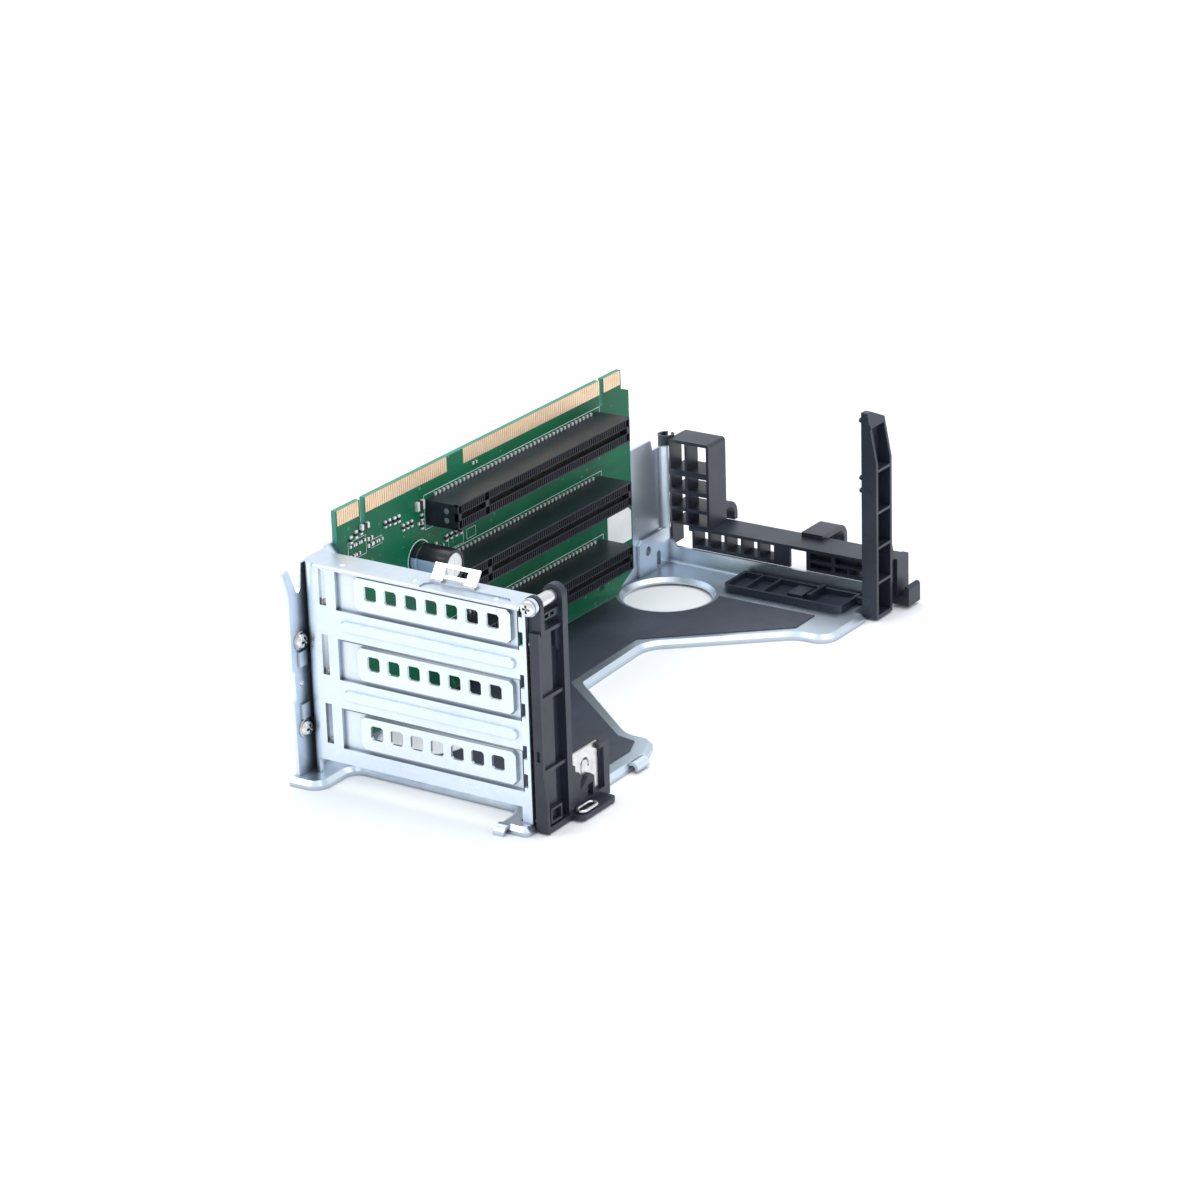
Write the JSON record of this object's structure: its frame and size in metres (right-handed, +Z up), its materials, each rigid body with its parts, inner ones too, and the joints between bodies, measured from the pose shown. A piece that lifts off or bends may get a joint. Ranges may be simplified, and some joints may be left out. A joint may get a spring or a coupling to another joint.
{
  "type": "server riser cage",
  "caption": "Sheet metal cage that carries a riser board with stacked card connectors, a slotted rear wall with vented blanks and a swinging black latch.",
  "frame": {"origin": "on the resting plane, in the front face of the slot wall, under the left end of the slot windows", "axes": "+X along the slot wall away from the riser board, +Y back along the riser board, +Z up"},
  "size_m": [0.0888, 0.2194, 0.0727],
  "materials": {
    "zinc_steel": "satin",
    "blank_steel": "satin",
    "spring_steel": "polished",
    "black_plastic": "matte",
    "connector_plastic": "matte",
    "insulator_film": "satin",
    "board_green": "satin",
    "gold": "polished",
    "solder": "satin",
    "capacitor_sleeve": "satin",
    "chip_black": "matte",
    "label_white": "matte"
  },
  "bodies": {
    "cage": {"base_plate": "zinc_steel", "side_wall": "zinc_steel", "slot_wall": "zinc_steel", "slot_filler_top": "blank_steel", "slot_filler_middle": "blank_steel", "slot_filler_bottom": "blank_steel", "contact_springs": "spring_steel", "top_clip": "spring_steel", "riser_board": "board_green", "gold_fingers": "gold", "card_connector_top": "connector_plastic", "card_connector_middle": "connector_plastic", "card_connector_bottom": "connector_plastic", "solder_tails": "solder", "capacitor": "capacitor_sleeve", "board_components": "chip_black", "board_label": "label_white", "ear_screws": "spring_steel", "insulator_sheet": "insulator_film", "hinge_pin": "spring_steel", "guide_block": "black_plastic", "guide_beam": "black_plastic", "support_post": "black_plastic", "card_guide_tray": "black_plastic"},
    "latch": {"card_latch": "black_plastic", "latch_clip_plate": "spring_steel", "latch_wire_loop": "spring_steel"}
  },
  "joints": [
    {"name": "latch_hinge", "type": "hinge", "parent": "cage", "child": "latch", "pos_m": [0.0627, 0.007, 0.0648], "axis": [0, -1, 0], "range_deg": [0, 85]}
  ]
}
